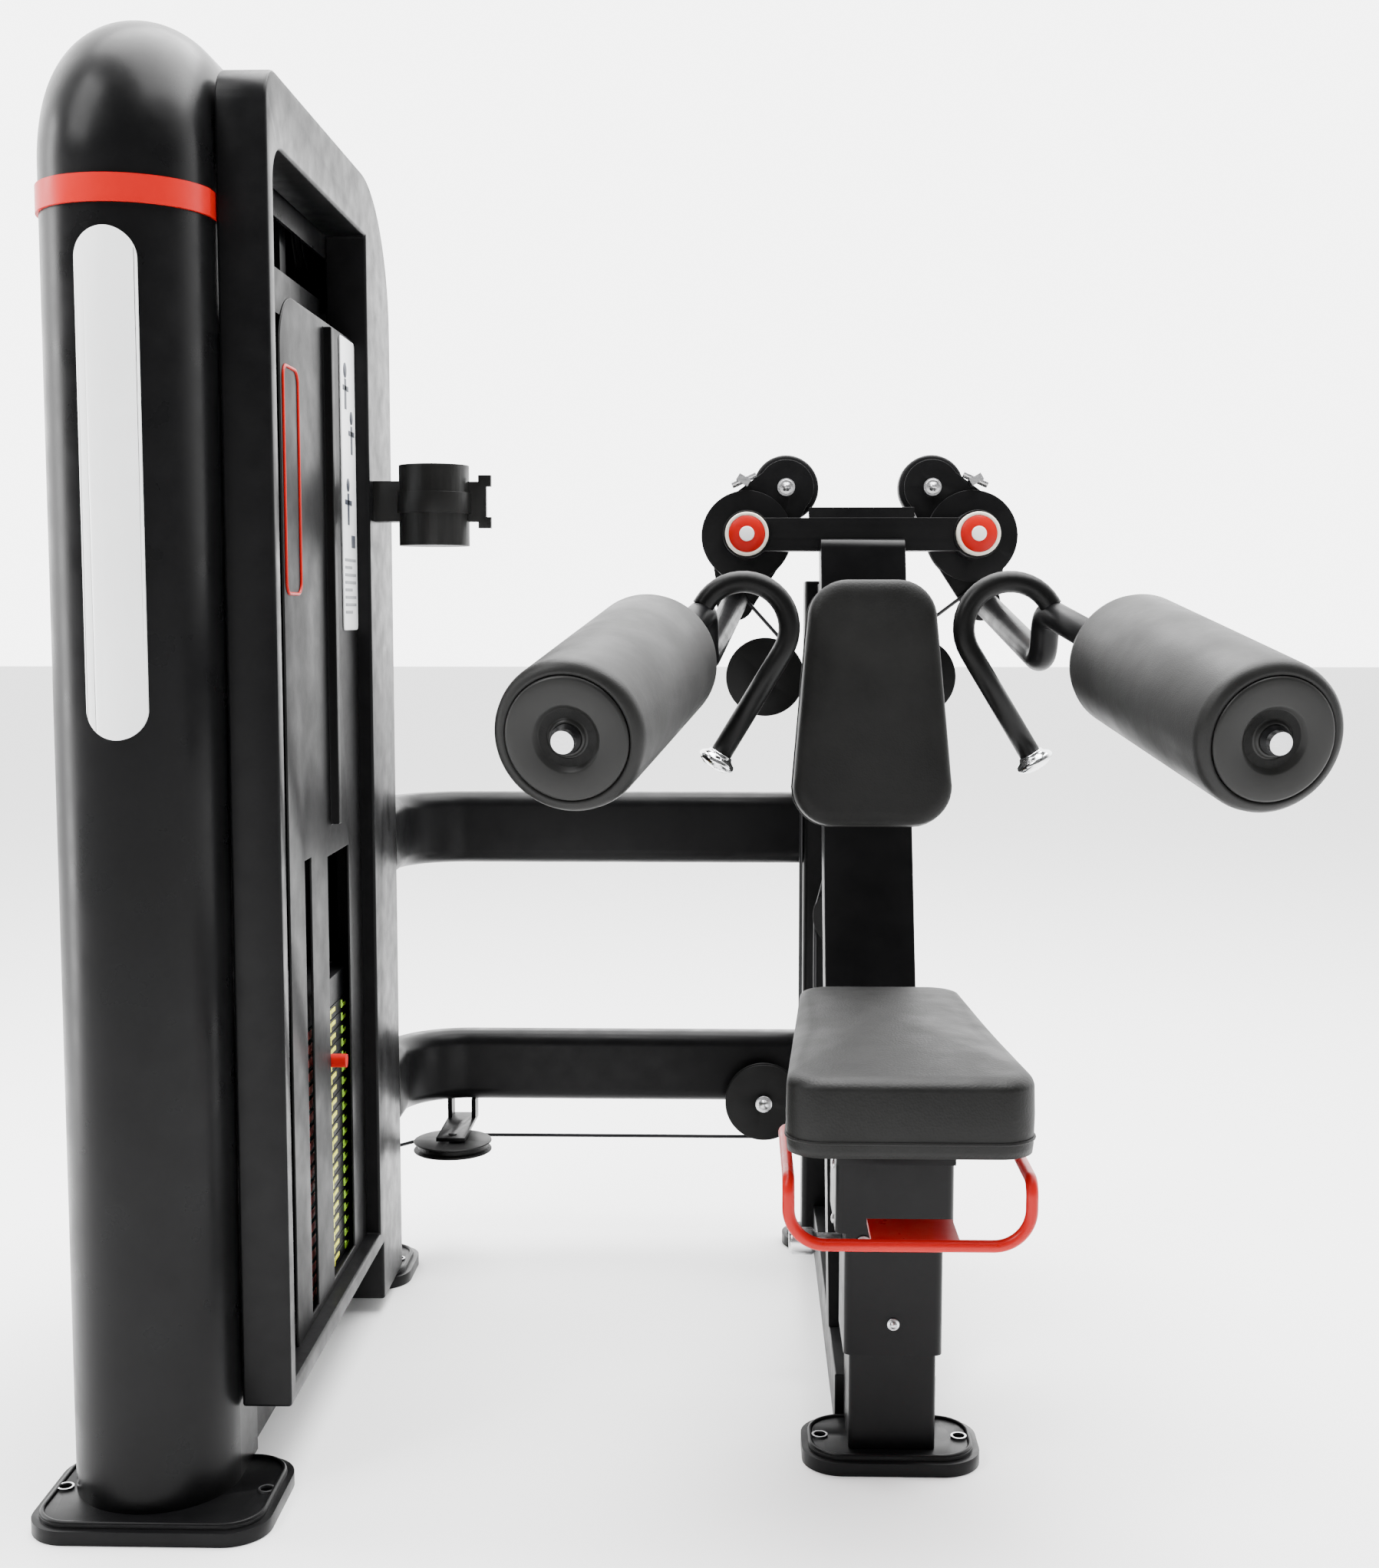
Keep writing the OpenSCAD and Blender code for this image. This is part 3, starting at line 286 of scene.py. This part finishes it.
def fillet(points, radius, steps=10):
    """Rounds the inner corners of a path of mm points."""
    out = [Vector(points[0])]
    for p, q, r in zip(points, points[1:], points[2:]):
        p, q, r = Vector(p), Vector(q), Vector(r)
        u, v = (p - q).normalized(), (r - q).normalized()
        half = u.angle(v) / 2
        cut = min(radius / math.tan(half), (p - q).length * 0.49, (r - q).length * 0.49)
        for i in range(steps + 1):
            t = i / steps
            out.append(((1 - t) ** 2) * (q + u * cut) + 2 * t * (1 - t) * q + t * t * (q + v * cut))
    out.append(Vector(points[-1]))
    return out


def sweep(path, radius, segments=28, close=True):
    """Round tube along a path of mm points."""
    bm = bmesh.new()
    pts = [Vector(p) for p in path]
    tangents = [(pts[min(i + 1, len(pts) - 1)] - pts[max(i - 1, 0)]).normalized() for i in range(len(pts))]
    normal = tangents[0].orthogonal().normalized()
    rings = []
    for i, (p, t) in enumerate(zip(pts, tangents)):
        if i:
            normal = (tangents[i - 1].rotation_difference(t) @ normal).normalized()
        side = t.cross(normal)
        r = radius(i / (len(pts) - 1)) if callable(radius) else radius
        rings.append([bm.verts.new((p + (normal * math.cos(a) + side * math.sin(a)) * r) / 1000)
                      for a in (2 * math.pi * k / segments for k in range(segments))])
    for a, b in zip(rings, rings[1:]):
        for i in range(segments):
            j = (i + 1) % segments
            bm.faces.new([a[i], a[j], b[j], b[i]])
    if close:
        bm.faces.new(list(reversed(rings[0])))
        bm.faces.new(rings[-1])
    return bm


def box_bm(lo, hi, bevel=1.5, segments=3):
    """Box between two mm corners with rounded edges."""
    bm = bmesh.new()
    bmesh.ops.create_cube(bm, size=1)
    lo, hi = Vector(lo), Vector(hi)
    bmesh.ops.scale(bm, vec=(hi - lo) / 1000, verts=bm.verts)
    bmesh.ops.translate(bm, vec=(hi + lo) / 2000, verts=bm.verts)
    if bevel:
        bmesh.ops.bevel(bm, geom=bm.edges[:], offset=bevel / 1000, segments=segments, profile=0.5,
                        affect="EDGES")
    return bm


def join_bm(*parts):
    """Several bmeshes in one."""
    out = bmesh.new()
    for p in parts:
        me = bpy.data.meshes.new("join")
        p.to_mesh(me)
        p.free()
        out.from_mesh(me)
        bpy.data.meshes.remove(me)
    return out


def soften(node, body, slot, width, segments=3, angle=30):
    """Copies a CAD node with its edges rounded, and shows the copy instead."""
    src = frame["nodes"][node]
    bm = bmesh.new()
    bm.from_mesh(src.data)
    bmesh.ops.remove_doubles(bm, verts=bm.verts, dist=1e-6)
    bmesh.ops.dissolve_limit(bm, angle_limit=math.radians(0.6), verts=bm.verts, edges=bm.edges)
    o = add(node + "_skin", bm, slot, body, node)
    mod = o.modifiers.new("edge", "BEVEL")
    mod.width, mod.segments = width / 1000, segments
    mod.limit_method, mod.angle_limit = "ANGLE", math.radians(angle)
    mod.harden_normals = True
    mod.use_clamp_overlap = True
    return o


def hex_head(r, h):
    """Hexagon bolt head with a chamfered top, standing on Z = 0."""
    bm = bmesh.new()
    bmesh.ops.create_cone(bm, cap_ends=True, segments=6, radius1=r / 1000, radius2=r / 1000, depth=h / 1000)
    bmesh.ops.translate(bm, vec=(0, 0, h / 2000), verts=bm.verts)
    bmesh.ops.bevel(bm, geom=bm.edges[:], offset=0.0008, segments=2, affect="EDGES")
    return bm


def place(bm, turn):
    """Moves a bmesh and returns it."""
    bmesh.ops.transform(bm, matrix=turn, verts=bm.verts)
    return bm


# ---- pads ----
def cushion_bm(corners, thickness, radius, crown, edge, top_t=1.0, rows=26, cols=20):
    """Crowned cushion over a four-cornered outline in mm, face up along +Z, back on Z = 0.

    corners: half width at the near end, half width at the far end, near y, far y."""
    hw0, hw1, y0, y1 = corners
    bm = bmesh.new()

    def outline(n):
        pts = []
        for (cx, cy), start in (((hw1 - radius, y1 - radius), 0), ((-hw1 + radius, y1 - radius), 90),
                                ((-hw0 + radius, y0 + radius), 180), ((hw0 - radius, y0 + radius), 270)):
            for k in range(n + 1):
                a = math.radians(start + 90 * k / n)
                pts.append(Vector((cx + radius * math.cos(a), cy + radius * math.sin(a))))
        dense = []
        for p, q in zip(pts, pts[1:] + pts[:1]):
            parts = max(1, int((q - p).length / 12))
            dense += [p.lerp(q, k / parts) for k in range(parts)]
        return dense

    base = outline(10)
    centre = Vector((0, (y0 + y1) / 2))
    levels = []
    side = [(0.0, 1.5), (0.10, 0.0), (0.5, -1.2), (0.5 + 0.5 * (1 - edge / thickness), 0.0)]
    for k, (h, out) in enumerate(side):
        levels.append((h * thickness, -out))
    z_side = side[-1][0] * thickness
    for k in range(1, 9):
        a = math.radians(90 * k / 8)
        levels.append((z_side + (thickness - z_side) * math.sin(a), -edge * (1 - math.cos(a))))
    half = min(hw0, hw1, (y1 - y0) / 2)
    rings = []
    for z, inset in levels:
        ring = []
        for p in base:
            d = (p - centre)
            ring.append(bm.verts.new(mm(*(p + d.normalized() * inset), z)))
        rings.append(ring)
    inner = levels[-1][1]
    for k in range(1, 13):
        f = k / 12
        ring = []
        for p in base:
            d = p - centre
            q = centre + d * ((d.length + inner) / d.length) * (1 - f) if k < 12 else centre
            ring.append((q, thickness + crown * (1 - (1 - f) ** 2.2)))
        if k < 12:
            rings.append([bm.verts.new(mm(*q, z)) for q, z in ring])
        else:
            rings.append([bm.verts.new(mm(*ring[0][0], ring[0][1]))])
    n = len(base)
    for a, b in zip(rings, rings[1:]):
        for i in range(n):
            quad = [a[i], a[(i + 1) % n], b[(i + 1) % len(b)], b[i % len(b)]]
            bm.faces.new(list(dict.fromkeys(quad)))
    bm.faces.new(list(reversed(rings[0])))
    return bm


seat_turn = Matrix.Translation(mm(0, 0, 394))
seat = add("seat_cushion_skin", cushion_bm((118, 93, -469, -6), 76, 36, 8, 24), "pad_charcoal", "seat",
           "seat_cushion", seat_turn)
chest_turn = Matrix.Translation(mm(0, 154, 792)) @ Matrix.Rotation(math.radians(84), 4, "X")
chest = add("chest_pad_skin", cushion_bm((97, 79, -151, 151), 54, 48, 7, 22), "pad_charcoal", "frame",
            "chest_pad", chest_turn)


def seam(corners, radius, z, turn, name, body, r=1.6):
    """Sewn welt that follows a cushion's outline at one height."""
    hw0, hw1, y0, y1 = corners
    pts = []
    for (cx, cy), start in (((hw1 - radius, y1 - radius), 0), ((-hw1 + radius, y1 - radius), 90),
                            ((-hw0 + radius, y0 + radius), 180), ((hw0 - radius, y0 + radius), 270)):
        for k in range(9):
            a = math.radians(start + 90 * k / 8)
            pts.append((cx + radius * math.cos(a), cy + radius * math.sin(a), z))
    pts += pts[:2]
    return add(name, sweep(pts, r, 8, close=False), "pad_charcoal", body, None, turn)


seam((118.6, 93.6, -469.6, -5.4), 36, 15, seat_turn, "seat_lower_welt", "seat")
seam((97.6, 79.6, -151.6, 151.6), 48, 10, chest_turn, "chest_pad_welt", "frame")

# ---- arms ----
ROLLER = [(20, 0), (58, 0), (66, 2.5), (71.5, 8), (73.5, 16), (73.5, 160), (73.3, 320), (71.8, 327),
          (68.5, 331.5),
          (64, 333.6), (60.8, 334), (60.2, 331), (20, 331)]
CAP = [(20, 331), (59.6, 331), (59.6, 334), (58.6, 335.6), (56.5, 336.4), (50, 336.6), (33.5, 336.6),
       (31.5, 335.8), (29, 331.5), (26.5, 330.4), (19, 330.4), (17.6, 331.5), (16.5, 334), (14.05, 334.4),
       (14.05, 2), (20, 2)]
REAR_DISC = [(18, -1.2), (52, -1.2), (54, 0), (54, 1.5), (18, 1.5)]
foams = both("roller_foam", lambda: lathe(ROLLER, 128), "roller_foam", "roller", "roller_pad", ROLLER_TURN)
both("roller_cap_skin", lambda: lathe(CAP, 128), "cap_plastic", "roller", "roller_core", ROLLER_TURN)
both("roller_rear_disc", lambda: lathe(REAR_DISC, 96), "cap_plastic", "roller", None, ROLLER_TURN)

HANDLE = [(-4, 62, -112)]
for degrees in range(0, 181, 9):
    turn = math.radians(degrees)
    HANDLE.append((-59 + 55 * math.cos(turn), 62, -108 + 55 * math.sin(turn)))
HANDLE.append((-114, 62, -251))
both("handle_skin", lambda: sweep(HANDLE, 13, 32), "grip_black", "arm", "handle")
elbow_back = ARM_TURN.inverted() @ ROLLER_TURN @ mm(0, 0, -256) * 1000
stub_front = ARM_TURN.inverted() @ ROLLER_TURN @ mm(0, 0, -16) * 1000
arm_path = fillet([(-32.4, 398, -84.1), (-40, 110, -168), tuple(elbow_back), tuple(stub_front)], 28)
both("arm_skin", lambda: join_bm(sweep(arm_path, 17, 36),
                                 place(lathe([(0, 0), (12, 0), (12, 22), (0, 22)], 40), front(-22, 412, -86)),
                                 place(lathe([(0, -20), (14, -20), (14, 340), (0, 340)], 48),
                                       ARM_TURN.inverted() @ ROLLER_TURN)), "frame_black", "arm", "arm_tube")

# ---- hard parts with rounded edges ----
for node_name, width in {
    "frame_shell": 9, "stack_cover": 2.5, "upper_beam": 1.5, "lower_beam": 1.5, "rear_post": 2,
    "spine_tube": 9,
    "base_runner": 2, "crossbar": 3, "seat_post": 2, "feet": 2, "bottle_holder": 2, "pad_bracket": 2,
    "pulley_brackets": 1.2, "light_panel": 1.6, "tower_chassis": 1.5, "placard": 0.8,
}.items():
    soften(node_name, "frame", SLOT_OF[node_name], width)
soften("seat_carriage", "seat", "frame_black", 3)
soften("seat_knob", "seat_knob", "steel_bright", 1)
soften("weight_plates", "weight_stack", "plate_iron", 1.2)
for side in ("left", "right"):
    soften(f"{side}_cam_lever", f"{side}_arm", "frame_black", 2)
    soften(f"{side}_counterweight", f"{side}_arm", "plate_iron", 4)
    soften(f"{side}_handle_end", f"{side}_arm", "chrome_bright", 1.2)
for wheel in ("upper_left_pulley", "upper_right_pulley", "mid_pulley", "lower_pulley", "beam_pulley",
              "base_pulley", "top_rear_pulley", "top_front_pulley"):
    soften(wheel, wheel, "pulley_black", 1)

# ---- hub caps: red face, cream ring and pale centre ----
hub = ARM_TURN @ front(0, 339.6, 0)
HUB_FACE = [(15.3, 0), (24.4, 0), (24.4, 15), (23, 16.6), (10, 17.4), (0, 17.4)]
HUB_RING = [(24.4, 0), (29, 0), (29, 14.5), (28, 16), (25.6, 16), (24.5, 15)]
HUB_CENTRE = [(10, 17.2), (9.6, 18.2), (8, 18.6), (0, 18.6)]
both("hub_face", lambda: lathe(HUB_FACE), "accent_red", "arm", "hub_cap", hub)
both("hub_ring", lambda: lathe(HUB_RING), "cream_ring", "arm", None, hub)
both("hub_centre", lambda: lathe(HUB_CENTRE), "panel_white", "arm", None, hub)

# ---- bolts ----


def bolt(name, body, turn, r=7, h=5, washer=True, slot="steel_bright"):
    """Hexagon bolt head on a washer."""
    bm = hex_head(r, h)
    if washer:
        bm = join_bm(place(bm, Matrix.Translation(mm(0, 0, 1.5))),
                     lathe([(0, 0), (r * 1.45, 0), (r * 1.45, 1.2), (r * 1.35, 1.6), (0, 1.6)], 40))
    return add(name, bm, slot, body, None, turn)


for side, m in (("right", ARM_TURN), ("left", MIRROR @ ARM_TURN)):
    bolt(f"{side}_weight_bolt", f"{side}_arm", m @ front(-12, 401.6, 85), 7, 4)
bolt("lower_pulley_bolt", "frame", front(-128, 389, 219), 8, 5)
bolt("upper_left_pulley_bolt", "frame", front(-128, 389, 818), 8, 5)
bolt("upper_right_pulley_bolt", "frame", front(80, 389, 818), 8, 5)
bolt("mid_pulley_bolt", "frame", front(-14, 389, 484), 8, 5)
bolt("sleeve_bolt", "seat", front(0, -271.2, 158), 4.5, 3.5)
bolt("collar_screw", "seat", front(-32, -271.2, 246), 5.5, 3)


def dome(name, body, turn, r, h):
    """Button head with a low dome."""
    rim_share = 0.35
    pts = [(r, 0), (r, h * rim_share)]
    for degrees in range(10, 91, 10):
        a = math.radians(degrees)
        pts.append((r * math.cos(a), h * (rim_share + (1 - rim_share) * math.sin(a))))
    return add(name, lathe(pts, 40), "steel_bright", body, None, turn)


LEFTWARD = Matrix.Rotation(math.radians(-90), 4, "Y")
for i, z in enumerate((262, 322)):
    dome(f"collar_side_screw_{i}", "seat", Matrix.Translation(mm(-62, -240, z)) @ LEFTWARD, 5, 3)

# ---- foot rims ----


def rim(name, x, y, w, l, corner=36, z=18, r=2.6):
    """Raised bead round the top of a foot."""
    hw, hl = w / 2 - 7 - r, l / 2 - 7 - r
    pts = []
    for cx, cy, start in ((hw - corner, hl - corner, 0), (-hw + corner, hl - corner, 90),
                          (-hw + corner, -hl + corner, 180), (hw - corner, -hl + corner, 270)):
        pts += [(x + cx + corner * math.cos(math.radians(start + k * 9)),
                 y + cy + corner * math.sin(math.radians(start + k * 9)), z) for k in range(11)]
    return add(name, sweep(pts + pts[:2], r, 10, close=False), "frame_black", "frame")


rim("front_foot_rim", 0, -232, 190, 118)
rim("tower_front_foot_rim", -745, -374, 240, 170)
rim("tower_rear_foot_rim", -729, 312, 240, 140)

# ---- cable above the stack, its top at the pulley ----
CABLE_X, CABLE_Y, CABLE_LOW, CABLE_TOP = -712, -30, 486, 1385
cable_step = (CABLE_TOP - CABLE_LOW) / 12
cable_path = [(CABLE_X, CABLE_Y, CABLE_LOW + k * cable_step) for k in range(13)]
cable = add("lift_cable_skin", sweep(cable_path, 2.5, 12), "cable_black", "lift_cable", "lift_cable")
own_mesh(cable)

# ---- cover label, placard picture and plate marks ----
COVER_FACE, PLACARD_FACE = -640, -638
TAG_BACK, TAG_FACE = -652, -651
STACK_Z0, PLATE_T = 116, 16


def on_cover(y0, y1, z0, z1, x=COVER_FACE, t=1.0, bevel=0.3):
    """Thin tile lying on the cover or on the placard."""
    return box_bm((x, y0, z0), (x + t, y1, z1), bevel, 2)


def outline(y0, y1, z0, z1, w, corner, x):
    """Rounded frame line on the cover."""
    pts = []
    for cy, cz, start in ((y1 - corner, z1 - corner, 0), (y0 + corner, z1 - corner, 90),
                          (y0 + corner, z0 + corner, 180), (y1 - corner, z0 + corner, 270)):
        pts += [(x, cy + corner * math.cos(math.radians(start + k * 10)),
                 cz + corner * math.sin(math.radians(start + k * 10))) for k in range(10)]
    return sweep(pts + pts[:2], w, 8, close=False)


add("cover_label_frame", outline(-226, -160, 926, 1164, 1.8, 14, -639.4), "accent_red", "frame")


def on_placard(y0, y1, z0, z1):
    """Printed bar on the face of the placard."""
    return on_cover(y0, y1, z0, z1, PLACARD_FACE, 0.5, 0.1)


def printed_dot(y, z, r):
    """Printed disc on the face of the placard."""
    disc = lathe([(0, 0), (r, 0), (r, 0.5), (0, 0.5)], 28)
    return place(disc, Matrix.Translation(mm(PLACARD_FACE, y, z)) @ Matrix.Rotation(math.radians(90), 4, "Y"))


lines = [on_placard(64, 64 + (62 if k % 3 else 40), 905 + 9 * k, 908.5 + 9 * k) for k in range(8)]
add("placard_lines", join_bm(*lines), "print_grey", "frame")
heads = [(80, 1196, 9), (112, 1142, 8), (88, 1060, 8)]
bars = [(76, 86, 1150, 1186), (66, 98, 1172, 1178), (108, 117, 1098, 1132), (96, 128, 1120, 1126),
        (84, 93, 1012, 1050), (70, 108, 1036, 1042), (104, 124, 985, 1000)]
add("placard_figures", join_bm(*[printed_dot(*h) for h in heads], *[on_placard(*b) for b in bars]),
    "print_dark", "frame")


def tag(y0, y1, z0, z1):
    """Printed tag on the edge of a weight plate."""
    return box_bm((TAG_BACK, y0, z0), (TAG_FACE, y1, z1), 0.2)


marks = [(STACK_Z0 + PLATE_T * i + 3, STACK_Z0 + PLATE_T * i + 12) for i in range(20)]
add("plate_marks_green", join_bm(*[join_bm(tag(62, 68, a, b), tag(70, 86, a, a + 4)) for a, b in marks]),
    "mark_green", "weight_stack")
add("plate_marks_pink", join_bm(*[tag(-116, -96, a, b) for a, b in marks]), "mark_pink", "weight_stack")
add("plate_marks_yellow", join_bm(*[join_bm(tag(-6, 4, a - 1, b), tag(6, 27, a + 4, b)) for a, b in marks]),
    "label_yellow", "weight_stack", "plate_labels")


# ---- stage: white floor, bright backdrop side, darker camera side ----
floor_mat, floor_tree, floor_bsdf = shader("floor_white", (0.97, 0.97, 0.97), 0.7, spec=0.1)
bm = bmesh.new()
bmesh.ops.create_grid(bm, x_segments=1, y_segments=1, size=30)
floor = mesh_object("floor", bm, floor_mat, smooth=False)
floor.location = (0, 0, -0.0005)

world = bpy.data.worlds.new("studio")
scene.world = world
world.use_nodes = True
wt = world.node_tree
background = wt.nodes["Background"]
background.inputs["Strength"].default_value = 1.0
direction = wt.nodes.new("ShaderNodeTexCoord")
split = wt.nodes.new("ShaderNodeSeparateXYZ")
wt.links.new(direction.outputs["Generated"], split.inputs["Vector"])
back = wt.nodes.new("ShaderNodeMapRange")
back.interpolation_type = "SMOOTHSTEP"
back.inputs["From Min"].default_value, back.inputs["From Max"].default_value = -0.25, 0.55
back.inputs["To Min"].default_value, back.inputs["To Max"].default_value = 0.22, 6.0
wt.links.new(split.outputs["Y"], back.inputs["Value"])
wt.links.new(back.outputs["Result"], background.inputs["Color"])


def area(name, at, to, size, power):
    """Soft rectangular lamp aimed at a point."""
    d = bpy.data.lights.new(name, "AREA")
    d.shape = "RECTANGLE"
    d.size, d.size_y = size
    d.energy = power
    o = bpy.data.objects.new(name, d)
    scene.collection.objects.link(o)
    o.location = at
    o.rotation_euler = (Vector(to) - Vector(at)).to_track_quat("-Z", "Y").to_euler()
    return o


area("key", (-2.2, -1.6, 3.0), (-0.3, 0, 0.7), (1.2, 1.8), 110)
area("top", (0.2, 0.4, 3.6), (0, 0.1, 0), (3.4, 3.0), 460)
area("left_strip", (-2.8, -0.2, 1.1), (-0.7, -0.1, 0.8), (0.5, 2.4), 70)
